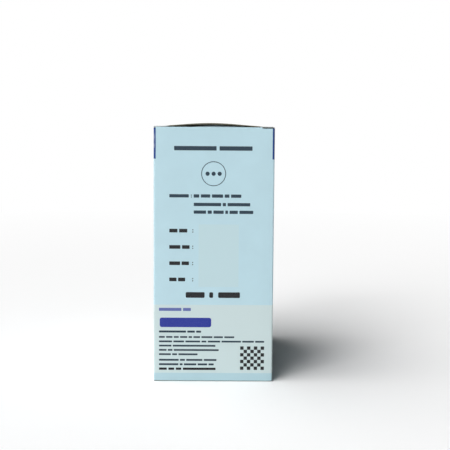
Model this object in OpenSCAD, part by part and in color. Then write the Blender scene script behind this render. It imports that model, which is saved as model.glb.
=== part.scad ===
// Lung exerciser with three ball chambers, packed upright in its folding carton.
// The carton stands on the floor with its narrow face towards -Y, and its lid is hinged along the -X wall.
// The origin is at the middle of the carton's underside, with +Z up.

/* [Balls and chambers] */
// Diameter of each ball
ball_d = 27; // [25:0.5:28]
// Running gap all round a ball inside its chamber
ball_play = 1.3; // [0.8:0.1:1.8]
// Wall of a chamber
chamber_wall = 1.9; // [1.4:0.1:2.4]
// Web between neighbouring chambers
chamber_web = 1.6; // [1.2:0.1:2.4]
// Height of the two clear shells
chamber_h = 98; // [80:1:110]
// Width of the welded seam at each end of the row
seam_w = 2; // [1.5:0.1:3]
// Thickness of the seam on each shell
seam_t = 1.5; // [1:0.1:2.5]
// How far the rims at the foot and head of a chamber stand out
rim_w = 1; // [0.6:0.1:1.6]
// Height of those rims
rim_h = 2; // [1.5:0.1:3]

/* [Seat and stop plates] */
// Thickness of the plate that the balls rest on
seat_t = 3; // [2.5:0.1:4]
// Radius of the hole under each ball
seat_r = 8.5; // [7:0.1:9.5]
// Countersink that takes each hole's edge back
seat_sink = 1; // [0.5:0.1:1.5]
// Thickness of the plate that stops the balls
stop_t = 2; // [1.5:0.1:3]
// Radius of each air hole in the stop plate
stop_hole_r = 2.25; // [1.5:0.05:2.5]
// Ring radius of those air holes
stop_ring_r = 8.5; // [7:0.1:9]
// Thickness of the spigot rings that locate the shells
spigot_w = 1.6; // [1.2:0.1:2]
// Height of those spigot rings
spigot_h = 1.5; // [1:0.1:1.8]
// Margin of both plates round the shells
plate_margin = 0.3; // [0.3:0.1:1]
// Corner radius of both plates
plate_r = 14; // [10:0.5:16]

/* [Base] */
// Width of the base, along the row of chambers
base_w = 128; // [124:1:136]
// Wall of the base
base_wall = 2; // [1.6:0.1:2.4]
// Room in the base behind the suction line
base_back_room = 0.35; // [0.3:0.05:3]
// Ledge of the base in front of the plates
base_ledge = 6.2; // [5:0.1:9]
// Corner radius of the base
base_r = 13; // [10:0.5:18]
// Height of the wider plinth at the foot
plinth_h = 7; // [5:0.5:9]
// How far the plinth stands out
plinth_w = 1.4; // [0.8:0.1:2]
// Thickness of the cover under the base
cover_t = 2; // [1.5:0.1:2.5]
// How far that cover is set up from the foot
cover_recess = 1; // [0.8:0.1:1.5]
// Radius of the largest air inlet holes in the cover
inlet_r = 2; // [1.5:0.1:2.5]
// Ring radius of the inlet holes under each ball
inlet_ring_r = 6; // [5.5:0.1:7]
// Width of each air notch in the foot
notch_w = 16; // [10:1:20]

/* [Suction line] */
// Outer radius of the down tube
tube_r = 6.5; // [6:0.1:7]
// Wall of the down tube
tube_wall = 1.3; // [1:0.1:1.8]
// How far the down tube stands up past the stop plate
tube_proud = 1; // [0.5:0.1:3]
// Outer radius of the hose port
port_r = 9; // [8.5:0.1:9.3]
// Wall of the hose port
port_wall = 2; // [1.5:0.1:2.4]
// Length of the hose port past its shoulder
port_l = 15; // [12:0.5:20]
// Room in the base between the cover and the suction line
port_foot = 2; // [1:0.1:4]
// Room in the base between the suction line and the top
port_head = 1; // [0.5:0.1:3]
// Thickness of the shoulder that the hose meets
shoulder_t = 2; // [1.5:0.1:3]
// How far the shoulder stands out from the port
shoulder_w = 2.6; // [2:0.1:3.5]
// How deep the down tube sits in its socket
socket_depth = 5; // [3:0.5:7]

/* [Top cap] */
// Outer height of the top cap
cap_h = 11; // [9:0.5:14]
// Wall of the cap's skirt
cap_wall = 1.8; // [1.4:0.1:2.2]
// Thickness of the cap's top
cap_top_t = 2; // [1.5:0.1:2.5]
// Width of the ledge inside the cap that sits on the stop plate
cap_ledge = 1.5; // [1:0.1:2]

/* [Mouthpiece] */
// Length of the round spigot that the hose slides over
spigot_l = 15; // [12:0.5:18]
// Radius of the shoulder between spigot and body
collar_r = 10; // [9.8:0.1:10.5]
// Thickness of that shoulder
collar_t = 2; // [1.5:0.1:3]
// Length of the body between shoulder and bite ridge
mouth_l = 38; // [34:1:44]
// Width of the flattened bite end
bite_w = 27; // [24:0.5:30]
// Height of the flattened bite end
bite_h = 16; // [13:0.5:17]
// Wall of the flattened bite end
bite_wall = 1.6; // [1.2:0.1:2]
// How far behind the chambers' axes the loose mouthpiece lies
mouth_back = 8.4; // [6:0.2:10]
// Length of the bite ridge
ridge_l = 4; // [3:0.5:6]

/* [Carton board] */
// Thickness of the board
board = 0.5; // [0.4:0.05:0.7]
// Slit between two panels at a fold that swings
fold_gap = 0.3; // [0.25:0.05:0.5]
// Outer radius of the four upright folds
fold_r = 1.2; // [1:0.1:2]
// Air gap between stacked bottom flaps
layer_gap = 0.1; // [0.1:0.05:0.2]

/* [Room in the carton] */
// Room between the back of the base and the tuck wall
back_room = 7; // [6:0.5:10]
// Room between the end of the hose port and the hinge wall
front_room = 2.9; // [2:0.1:8]
// Room between the base and each narrow wall
side_room = 8; // [7:0.5:10]
// Headroom above the cap for the mouthpiece and the hose
headroom = 34; // [32:1:40]

/* [Lid and tuck] */
// How far the closed lid bows up in its middle
lid_bow = 2.6; // [1.8:0.1:3.4]
// Gap between the lid's free end and the tuck wall
lid_gap = 0.3; // [0.3:0.1:1]
// How much shorter the lid is than the carton at each narrow face
lid_inset = 0.4; // [0.3:0.1:0.8]
// Length of the tuck flap
tuck_l = 17; // [14:0.5:19]
// How much narrower the tuck flap is at each end
tuck_inset = 5; // [4:0.5:8]
// Corner cut of the tuck flap
tuck_corner = 10; // [6:0.5:12]
// Lean of the tuck flap away from the wall, in degrees
tuck_lean = 8; // [7:0.5:10]

/* [Dust flaps] */
// Length of each dust flap
dust_l = 36; // [30:0.5:37]
// Setback of a dust flap from the hinge wall
dust_hinge_inset = 2.5; // [2.5:0.1:4]
// Setback of a dust flap from the tuck wall
dust_tuck_inset = 8; // [1.2:0.1:10]
// Taper of the edge beside the lid's hinge, in degrees
dust_hinge_taper = 40; // [38:1:44]
// Taper of the edge beside the tuck, in degrees
dust_tuck_taper = 15; // [13:1:20]
// Corner cut at the tips of a dust flap
dust_corner = 6; // [3:0.5:9]
// How far a dust flap springs up from level, in degrees
dust_tilt = 2; // [1:0.5:2]

/* [Bottom lock] */
// Reach of the lock flap from the tuck wall
lock_reach = 48.5; // [46:0.5:52]
// Reach of the slotted flap from the hinge wall
slot_reach = 50.5; // [48:0.5:54]
// Half width of the locking tongue
tongue_half = 34; // [30:1:40]
// Length of the tongue over the slotted flap
tongue_l = 15; // [10:0.5:20]
// Length over which the tongue climbs through the slot
tongue_ramp = 3; // [3:0.5:5]
// Clearance round the tongue in its slot
tongue_play = 2; // [1:0.5:3]
// Taper of the bottom flaps at their free ends
bottom_taper = 6; // [4:0.5:10]
// Corner cut of the bottom flaps
bottom_corner = 5; // [3:0.5:8]

/* [Glue flap] */
// Width of the glue flap
glue_w = 14; // [10:0.5:18]
// Setback of its ends from the ends of the wall
glue_end = 6; // [4:0.5:10]
// Length of its tapered ends
glue_taper = 8; // [6:0.5:12]

/* [Hidden] */
$fn = 72;

// Fine circles for the lid's long, shallow bow
bow_fn = 900;
// Facets round the mouthpiece's blended body
blend_fn = 32;
// Points along one rounded corner of a flap
corner_steps = 6;
// Overrun of every cut past the face it opens
over = 1;
// Push fit between parts that slot together
fit_gap = 0.15;
// Gap under a ball, and under the exerciser where it stands in the carton
rest_gap = 0.3;
// Clearance between the down tube and the chambers' rims
tube_gap = 0.3;
// Thin disc at each end of the mouthpiece's blend
blend_t = 0.2;

// Places of the three chambers along the row
row = [-1, 0, 1];
// Air holes round each ring
ring_holes = 6;
// A chamber with smaller inlets needs a stronger breath before its ball rises
inlet_shares = [1, 0.85, 0.7];

// Chambers and plates
ball_r = ball_d / 2;
bore_r = ball_r + ball_play;
chamber_r = bore_r + chamber_wall;
pitch = 2 * chamber_r + chamber_web;
row_half = pitch + chamber_r + seam_w;
rim_r = chamber_r + rim_w;

// The down tube nests in the groove between the middle chamber and its neighbour
tube_v = pitch / 2;
tube_u = -sqrt(pow(rim_r + tube_r + tube_gap, 2) - pow(tube_v, 2));

plate_half = row_half + plate_margin;
plate_front = rim_r + plate_margin;
plate_back = -tube_u + tube_r + plate_margin;
plate_d = plate_front + plate_back;

// Base and levels above the foot
elbow_back = -tube_u + port_r;
base_back = elbow_back + base_back_room + base_wall + plinth_w;
base_front = plate_front + base_ledge;
base_d = base_front + base_back;
cover_z = cover_recess + cover_t;
port_z = cover_z + port_foot + port_r;
base_h = port_z + port_r + port_head + base_wall;
seat_z = base_h + seat_t;
stop_z = seat_z + chamber_h;
gallery_z = stop_z + stop_t;
unit_h = stop_z + cap_h;
socket_z = base_h - base_wall - socket_depth;
shoulder_end = base_front + shoulder_t;
port_end = shoulder_end + port_l;
ball_z = seat_z + sqrt(pow(ball_r, 2) - pow(seat_r, 2)) + rest_gap;
mouth_bore_r = port_r - port_wall;
// The bite ridge reaches as low as the shoulder, so that the mouthpiece lies level
ridge_w = collar_r - bite_h / 2;

// Carton, sized round the exerciser
layer = board + layer_gap;
floor_z = 3 * layer + board;
unit_z = floor_z + rest_gap;
carton_w = base_back + port_end + back_room + front_room + 2 * board;
carton_d = base_w + 2 * side_room + 2 * board;
half_w = carton_w / 2;
half_d = carton_d / 2;
unit_x = half_w - board - back_room - base_back;
dust_z = unit_z + unit_h + headroom + board;
wall_top = dust_z - board - fold_gap;
carton_h = dust_z + fold_gap + board;
lid_end = half_w - board - lid_gap;
lid_l = half_w + lid_end;
bow_r = (pow(lid_l / 2, 2) + pow(lid_bow, 2)) / (2 * lid_bow);
tuck_start = board + fold_gap;

// The corner q between p and n, rounded by a curve that leaves each side at the distance cut from q
function unit(v) = v / norm(v);
function rounded(p, q, n, cut) = [
    for (k = [0 : corner_steps])
        let (t = k / corner_steps, a = q + cut * unit(p - q), b = q + cut * unit(n - q))
            pow(1 - t, 2) * a + 2 * t * (1 - t) * q + t * t * b
];

// Rectangle with round corners, centred on its own middle
module rounded_rect(size_u, size_v, r) {
    square([size_u - 2 * r, size_v], center = true);
    square([size_u, size_v - 2 * r], center = true);
    for (i = [-1, 1], j = [-1, 1])
        translate([i * (size_u / 2 - r), j * (size_v / 2 - r)]) circle(r);
}

// Plate whose front and back edges lie at their own distances from the chambers' axes
module plate(front, back, half, r, z0, z1) {
    translate([(front - back) / 2, 0, z0])
        linear_extrude(z1 - z0) rounded_rect(front + back, 2 * half, r);
}

// The exerciser's own frame: its foot at height zero, its chambers' axes in the plane of u = 0.
// It stands with its hose port towards the hinge wall.
module in_carton() {
    translate([unit_x, 0, unit_z]) rotate([0, 0, 180]) children();
}

module at_chambers() {
    for (i = row) translate([0, i * pitch, 0]) children();
}

module at_tube() {
    translate([tube_u, tube_v, 0]) children();
}

// One round hole with a ring of holes round it
module rosette(ring_r, hole_r, z0, z1) {
    translate([0, 0, z0]) {
        cylinder(h = z1 - z0, r = hole_r);
        for (k = [0 : ring_holes - 1])
            rotate([0, 0, k * 360 / ring_holes])
                translate([ring_r, 0, 0]) cylinder(h = z1 - z0, r = hole_r);
    }
}

// Round tube along +X from u0 to u1
module along_u(r, u0, u1) {
    translate([u0, tube_v, port_z]) rotate([0, 90, 0]) cylinder(h = u1 - u0, r = r);
}

module base_shell() {
    color("royalblue")
    in_carton()
    difference() {
        union() {
            plate(base_front, base_back, base_w / 2, base_r, 0, plinth_h);
            plate(base_front - plinth_w, base_back - plinth_w, base_w / 2 - plinth_w,
                  base_r - plinth_w, 0, base_h);
            // Boss that brings the front wall out to the port's shoulder
            along_u(port_r + shoulder_w, base_front - plinth_w - base_wall, base_front);
        }
        // Hollow, with a wider rebate at the foot for the cover
        plate(base_front - plinth_w - base_wall, base_back - plinth_w - base_wall,
              base_w / 2 - plinth_w - base_wall, base_r - plinth_w - base_wall,
              -over, base_h - base_wall);
        plate(base_front - base_wall, base_back - base_wall, base_w / 2 - base_wall,
              base_r - base_wall, -over, cover_z);
        at_chambers() translate([0, 0, base_h - base_wall - over])
            cylinder(h = base_wall + 2 * over, r = seat_r + seat_sink);
        at_tube() translate([0, 0, base_h - base_wall - over])
            cylinder(h = base_wall + 2 * over, r = tube_r + fit_gap);
        along_u(port_r + fit_gap, 0, base_front + over);
        // Notches that let air under the foot
        at_chambers() translate([0, 0, (cover_recess - over) / 2])
            cube([base_front + base_back + base_w, notch_w, cover_recess + over], center = true);
    }
}

module base_cover() {
    color("whitesmoke")
    in_carton()
    difference() {
        plate(base_front - base_wall - fit_gap, base_back - base_wall - fit_gap,
              base_w / 2 - base_wall - fit_gap, base_r - base_wall - fit_gap, cover_recess, cover_z);
        for (i = row) translate([0, i * pitch, 0])
            rosette(inlet_ring_r, inlet_r * inlet_shares[i + 1], cover_recess - over, cover_z + over);
    }
}

module outlet_elbow() {
    color("whitesmoke")
    in_carton()
    difference() {
        union() {
            along_u(port_r, -elbow_back, port_end);
            along_u(port_r + shoulder_w, base_front, shoulder_end);
            at_tube() translate([0, 0, port_z])
                cylinder(h = base_h - base_wall - port_z, r = port_r);
        }
        along_u(port_r - port_wall, -elbow_back + port_wall, port_end + over);
        at_tube() translate([0, 0, port_z]) cylinder(h = base_h, r = tube_r - tube_wall);
        at_tube() translate([0, 0, socket_z]) cylinder(h = base_h, r = tube_r + fit_gap);
    }
}

module down_tube() {
    color("lightcyan", 0.5)
    in_carton()
    at_tube() translate([0, 0, socket_z]) difference() {
        cylinder(h = gallery_z + tube_proud - socket_z, r = tube_r);
        translate([0, 0, -over])
            cylinder(h = gallery_z + tube_proud - socket_z + 2 * over, r = tube_r - tube_wall);
    }
}

// Spigot rings that fit inside the chambers' ends
module spigots(z0) {
    at_chambers() translate([0, 0, z0]) difference() {
        cylinder(h = spigot_h, r = bore_r - fit_gap);
        translate([0, 0, -over]) cylinder(h = spigot_h + 2 * over, r = bore_r - fit_gap - spigot_w);
    }
}

module seat_plate() {
    color("whitesmoke")
    in_carton()
    difference() {
        union() {
            plate(plate_front, plate_back, plate_half, plate_r, base_h, seat_z);
            spigots(seat_z);
        }
        at_chambers() translate([0, 0, base_h - over])
            cylinder(h = seat_t + 2 * over, r = seat_r - seat_sink);
        at_chambers() translate([0, 0, seat_z - seat_sink])
            cylinder(h = seat_sink, r1 = seat_r - seat_sink, r2 = seat_r);
        at_tube() translate([0, 0, base_h - over])
            cylinder(h = seat_t + 2 * over, r = tube_r + fit_gap);
    }
}

// Both clear shells as one block of three bores, before it is parted down the middle
module chamber_block() {
    difference() {
        union() {
            at_chambers() translate([0, 0, seat_z]) cylinder(h = chamber_h, r = chamber_r);
            translate([-seam_t, -row_half, seat_z]) cube([2 * seam_t, 2 * row_half, chamber_h]);
            for (z = [seat_z, stop_z - rim_h])
                at_chambers() translate([0, 0, z]) cylinder(h = rim_h, r = rim_r);
        }
        at_chambers() translate([0, 0, seat_z - over])
            cylinder(h = chamber_h + 2 * over, r = bore_r);
    }
}

module chamber_front_shell() {
    color("lightcyan", 0.4)
    in_carton()
    intersection() {
        chamber_block();
        translate([0, -row_half - over, seat_z - over])
            cube([rim_r + over, 2 * (row_half + over), chamber_h + 2 * over]);
    }
}

module chamber_back_shell() {
    color("lightcyan", 0.4)
    in_carton()
    intersection() {
        chamber_block();
        translate([-rim_r - over, -row_half - over, seat_z - over])
            cube([rim_r + over, 2 * (row_half + over), chamber_h + 2 * over]);
    }
}

module stop_plate() {
    color("whitesmoke")
    in_carton()
    difference() {
        union() {
            plate(plate_front, plate_back, plate_half, plate_r, stop_z, gallery_z);
            spigots(stop_z - spigot_h);
        }
        at_chambers() rosette(stop_ring_r, stop_hole_r, stop_z - over, gallery_z + over);
        at_tube() translate([0, 0, stop_z - over])
            cylinder(h = stop_t + 2 * over, r = tube_r + fit_gap);
    }
}

module top_cap() {
    color("royalblue")
    in_carton()
    difference() {
        plate(plate_front + fit_gap + cap_wall, plate_back + fit_gap + cap_wall,
              plate_half + fit_gap + cap_wall, plate_r + fit_gap + cap_wall, stop_z, unit_h);
        plate(plate_front + fit_gap, plate_back + fit_gap, plate_half + fit_gap,
              plate_r + fit_gap, stop_z - over, gallery_z);
        // Gallery that joins the chambers' heads to the down tube, behind the ledge
        plate(plate_front - cap_ledge, plate_back - cap_ledge, plate_half - cap_ledge,
              plate_r - cap_ledge, stop_z - over, unit_h - cap_top_t);
        at_tube() translate([0, 0, stop_z - over])
            cylinder(h = unit_h - cap_top_t - stop_z + over, r = tube_r + fit_gap);
    }
}

module ball(place) {
    in_carton() translate([0, place * pitch, ball_z]) sphere(r = ball_r);
}

module ball_low_flow() {
    color("dodgerblue") ball(row[0]);
}

module ball_mid_flow() {
    color("mediumseagreen") ball(row[1]);
}

module ball_high_flow() {
    color("orange") ball(row[2]);
}

// Flat-sided oval of the bite end
module bite_oval(w, h) {
    square([w - h, h], center = true);
    for (i = [-1, 1]) translate([i * (w - h) / 2, 0]) circle(h / 2);
}

// Body that blends from a round end at z0 to the oval bite end at z1
module mouth_blend(z0, z1, r, w, h) {
    hull() {
        translate([0, 0, z0]) linear_extrude(blend_t) circle(r, $fn = blend_fn);
        translate([0, 0, z1 - blend_t]) linear_extrude(blend_t) bite_oval(w, h, $fn = blend_fn);
    }
}

// The mouthpiece lies across the cap, along the row of chambers
module mouthpiece() {
    mouth_z = spigot_l + collar_t;
    mouth_end = mouth_z + mouth_l;
    color("white")
    in_carton()
    translate([-mouth_back, -mouth_end / 2, unit_h + collar_r + rest_gap])
    rotate([-90, 0, 0])
    difference() {
        union() {
            cylinder(h = mouth_z, r = port_r);
            translate([0, 0, spigot_l]) cylinder(h = collar_t, r = collar_r);
            mouth_blend(mouth_z - collar_t / 2, mouth_end - ridge_l / 2, port_r, bite_w, bite_h);
            translate([0, 0, mouth_end - ridge_l]) linear_extrude(ridge_l)
                bite_oval(bite_w + 2 * ridge_w, bite_h + 2 * ridge_w);
        }
        translate([0, 0, -over]) cylinder(h = mouth_z + 2 * over, r = mouth_bore_r);
        mouth_blend(mouth_z, mouth_end + over, port_r - bite_wall,
                    bite_w - 2 * bite_wall, bite_h - 2 * bite_wall);
    }
}

// Narrow wall between two upright folds
module narrow_panel() {
    translate([-half_w + fold_r, half_d - board, 0])
        cube([carton_w - 2 * fold_r, board, wall_top]);
}

module front_panel() {
    color("lightblue") mirror([0, 1, 0]) narrow_panel();
}

module back_panel() {
    color("lightblue") narrow_panel();
}

// Wide wall at +X with the quarter-round folds at both its ends
module wide_panel() {
    linear_extrude(dust_z) {
        translate([half_w - board, -half_d + fold_r]) square([board, carton_d - 2 * fold_r]);
        for (j = [-1, 1])
            translate([half_w - fold_r, j * (half_d - fold_r)]) intersection() {
                difference() {
                    circle(fold_r);
                    circle(fold_r - board);
                }
                translate([0, j > 0 ? 0 : -fold_r]) square(fold_r);
            }
    }
}

module hinge_panel() {
    color("lightblue") mirror([1, 0, 0]) wide_panel();
}

module tuck_panel() {
    color("lightblue") wide_panel();
}

// Strip folded in from the back wall and glued inside the hinge wall
module glue_flap() {
    y1 = half_d - fold_r;
    y0 = y1 - glue_w;
    color("tan")
    translate([-half_w + board, 0, 0]) rotate([90, 0, 90]) linear_extrude(board)
        polygon([
            [y1, glue_end], [y1, wall_top - glue_end],
            [y0, wall_top - glue_end - glue_taper], [y0, glue_end + glue_taper]
        ]);
}

// Flap of the bottom lock that reaches inward from a narrow wall
module side_bottom_flap() {
    reach = half_d - board - tongue_half - tongue_play - board;
    w = half_w - fold_r - fold_gap;
    p = [[-w, 0], [-w + bottom_taper, reach], [w - bottom_taper, reach], [w, 0]];
    translate([0, half_d - board, layer]) mirror([0, 1, 0]) linear_extrude(board)
        polygon(concat(
            [p[0]],
            rounded(p[0], p[1], p[2], bottom_corner),
            rounded(p[1], p[2], p[3], bottom_corner),
            [p[3]]
        ));
}

module front_bottom_flap() {
    color("tan") mirror([0, 1, 0]) side_bottom_flap();
}

module back_bottom_flap() {
    color("tan") side_bottom_flap();
}

lock_edge = half_w - board - lock_reach;

// Outermost bottom flap; its tongue climbs through the slot and lies on the slotted flap
module lock_flap() {
    w = half_d - fold_r - fold_gap;
    p = [
        [half_w - board, -w], [lock_edge, -w + bottom_taper],
        [lock_edge, w - bottom_taper], [half_w - board, w]
    ];
    climb = 3 * layer;
    color("lightblue")
    union() {
        linear_extrude(board)
            polygon(concat(
                [p[0]],
                rounded(p[0], p[1], p[2], bottom_corner),
                rounded(p[1], p[2], p[3], bottom_corner),
                [p[3]]
            ));
        rotate([90, 0, 0]) linear_extrude(2 * tongue_half, center = true)
            polygon([
                [lock_edge + over, 0], [lock_edge, 0],
                [lock_edge - tongue_ramp, climb], [lock_edge - tongue_ramp - tongue_l, climb],
                [lock_edge - tongue_ramp - tongue_l, climb + board],
                [lock_edge - tongue_ramp, climb + board], [lock_edge, board], [lock_edge + over, board]
            ]);
    }
}

// Bottom flap that carries the slot for the tongue
module slot_flap() {
    w = half_d - fold_r - fold_gap;
    edge = -half_w + board + slot_reach;
    slot_end = lock_edge - tongue_ramp - layer_gap;
    slot_half = tongue_half + tongue_play;
    p = [
        [-half_w + board, -w], [edge, -w + bottom_taper], [edge, -slot_half], [slot_end, -slot_half],
        [slot_end, slot_half], [edge, slot_half], [edge, w - bottom_taper], [-half_w + board, w]
    ];
    color("tan")
    translate([0, 0, 2 * layer]) linear_extrude(board)
        polygon(concat(
            [p[0]],
            rounded(p[0], p[1], p[2], bottom_corner),
            [p[2], p[3], p[4], p[5]],
            rounded(p[5], p[6], p[7], bottom_corner),
            [p[7]]
        ));
}

// Closed lid, bowed up between its hinge at -X and the tuck fold at +X
module lid_panel() {
    half_l = half_d - lid_inset;
    color("lightblue")
    translate([(lid_end - half_w) / 2, 0, carton_h + lid_bow - bow_r])
    rotate([90, 0, 0])
    linear_extrude(2 * half_l, center = true)
    intersection() {
        difference() {
            circle(bow_r, $fn = bow_fn);
            circle(bow_r - board, $fn = bow_fn);
        }
        translate([-lid_l / 2, 0]) square([lid_l, bow_r + over]);
    }
}

// Flap that slides down inside the tuck wall, leaning in a little
module tuck_flap() {
    w = half_d - board - tuck_inset;
    p = [[-w, -tuck_start], [-w, -tuck_l], [w, -tuck_l], [w, -tuck_start]];
    color("lightblue")
    translate([lid_end, 0, carton_h])
    rotate([0, tuck_lean, 0])
    translate([-board, 0, 0])
    rotate([90, 0, 90])
    linear_extrude(board)
        polygon(concat(
            [p[0]],
            rounded(p[0], p[1], p[2], tuck_corner),
            rounded(p[1], p[2], p[3], tuck_corner),
            [p[3]]
        ));
}

// Dust flap folded in from the front wall, under the lid
module dust_flap() {
    x0 = -half_w + board + dust_hinge_inset;
    x1 = half_w - board - dust_tuck_inset;
    p = [
        [x0, 0], [x0 + dust_l * tan(dust_hinge_taper), dust_l],
        [x1 - dust_l * tan(dust_tuck_taper), dust_l], [x1, 0]
    ];
    translate([0, -half_d, dust_z])
    rotate([dust_tilt, 0, 0])
    translate([0, 0, -board])
    linear_extrude(board)
        polygon(concat(
            [p[0]],
            rounded(p[0], p[1], p[2], dust_corner),
            rounded(p[1], p[2], p[3], dust_corner),
            [p[3]]
        ));
}

module front_dust_flap() {
    color("lightblue") dust_flap();
}

module back_dust_flap() {
    color("lightblue") mirror([0, 1, 0]) dust_flap();
}

front_panel();
back_panel();
hinge_panel();
tuck_panel();
glue_flap();
slot_flap();
lock_flap();
front_bottom_flap();
back_bottom_flap();
lid_panel();
tuck_flap();
front_dust_flap();
back_dust_flap();
base_shell();
base_cover();
outlet_elbow();
down_tube();
seat_plate();
chamber_front_shell();
chamber_back_shell();
stop_plate();
top_cap();
mouthpiece();
ball_low_flow();
ball_mid_flow();
ball_high_flow();
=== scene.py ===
"""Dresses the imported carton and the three-ball breathing exerciser inside it.

Lengths are in metres. X runs across the narrow face, Y into the carton and Z up.
The carton's pieces are cut flat, folded and printed; the exerciser's are moulded.
"""

import math

import bmesh
import bpy
from bpy.props import FloatProperty, FloatVectorProperty, PointerProperty
from bpy.types import Operator, Panel, PropertyGroup
from mathutils import Matrix, Vector


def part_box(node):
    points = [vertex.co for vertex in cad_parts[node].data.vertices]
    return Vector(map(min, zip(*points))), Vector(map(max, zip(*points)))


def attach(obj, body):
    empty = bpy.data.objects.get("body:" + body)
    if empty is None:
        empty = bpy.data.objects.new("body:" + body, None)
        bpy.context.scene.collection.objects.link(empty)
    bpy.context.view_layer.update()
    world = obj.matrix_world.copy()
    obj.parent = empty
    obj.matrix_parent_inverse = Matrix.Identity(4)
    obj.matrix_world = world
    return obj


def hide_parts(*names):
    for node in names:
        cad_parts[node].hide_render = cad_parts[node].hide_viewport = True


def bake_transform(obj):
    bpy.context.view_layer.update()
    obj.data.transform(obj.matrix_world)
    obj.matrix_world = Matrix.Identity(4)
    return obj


bl_info = {
    "name": "Boxed breathing exerciser",
    "version": (1, 0, 0),
    "blender": (4, 5, 0),
    "location": "View3D > Sidebar > Exerciser",
    "description": "Board, print, mouldings and stage for a three-ball exerciser in its carton",
    "category": "Object",
}

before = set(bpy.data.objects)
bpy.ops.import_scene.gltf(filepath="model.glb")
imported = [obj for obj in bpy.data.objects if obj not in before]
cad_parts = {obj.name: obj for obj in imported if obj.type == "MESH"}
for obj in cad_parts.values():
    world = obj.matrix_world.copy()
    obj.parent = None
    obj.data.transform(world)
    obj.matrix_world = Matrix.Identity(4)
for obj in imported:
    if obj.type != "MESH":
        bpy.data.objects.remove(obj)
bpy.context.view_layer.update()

MM = 0.001
TOUCH = 1e-6  # points nearer to each other than this are at one place
ON_WALL = 0.3 * MM  # how near to a wall's outer face a point counts as on it
CRISP = 35  # edges that turn by more degrees than this stay crisp
WALL_STRIP = 10 * MM  # width of the strips that the walls are cut into, so that they can bulge
MARK_STRIP = 8 * MM  # the same for the marks on them, and for the walls' height
NARROW_SWELL = 0.4  # share of the wide walls' bulge that the narrow walls have
LEAST_SPRING = 0.15  # share of its spring that a dust flap keeps next to the hinge wall
WHITE_INK = 0.6  # thickness of the white ink, which lies under the others, as a share of theirs
SUNK_INK = 0.2  # share of its thickness that a mark is sunk into the board
WIDE_FACE = 3e-4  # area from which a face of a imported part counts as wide, in square metres
FLOOR_R = 12

FACE_LOW, FACE_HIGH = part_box("front_panel")
TUCK_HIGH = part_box("tuck_panel")[1]
LID_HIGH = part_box("lid_panel")[1]
BASE_LOW, BASE_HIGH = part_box("base_shell")
CAP_LOW, CAP_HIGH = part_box("top_cap")
ELBOW_LOW, ELBOW_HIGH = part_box("outlet_elbow")


def number(label, text, default, **limits):
    """A property for one plain number."""
    return FloatProperty(name=label, description=text, default=default, **limits)


def length(label, text, default):
    """A property for one size."""
    return number(label, text, default, min=0, unit="LENGTH", subtype="DISTANCE", precision=5)


def place(label, text, default):
    """A property for one position, which may be negative."""
    return number(label, text, default, unit="LENGTH", subtype="DISTANCE", precision=5)


def angle(label, text, degrees):
    """A property for one angle."""
    return number(label, text, math.radians(degrees), subtype="ANGLE")


def share(label, text, default):
    """A property for one share of a whole."""
    return number(label, text, default, min=0, max=1, subtype="FACTOR")


def span(label, text, low, high):
    """A property for the two ends of a zone."""
    return FloatVectorProperty(
        name=label, description=text, default=(low, high), size=2, unit="LENGTH", precision=5)


def heading(label, text, *direction):
    """A property for the direction that a light comes from."""
    return FloatVectorProperty(
        name=label, description=text, default=direction, size=3, subtype="DIRECTION")


def shade(label, text, *steps):
    """A property for one colour, written in the 0 to 255 steps of a colour picker."""
    return FloatVectorProperty(
        name=label, description=text, default=[linear(step / 255) for step in steps],
        min=0, max=1, size=3, subtype="COLOR")


def linear(c):
    """A display value from 0 to 1 as the light it stands for."""
    return c / 12.92 if c <= 0.04045 else ((c + 0.055) / 1.055) ** 2.4


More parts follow.
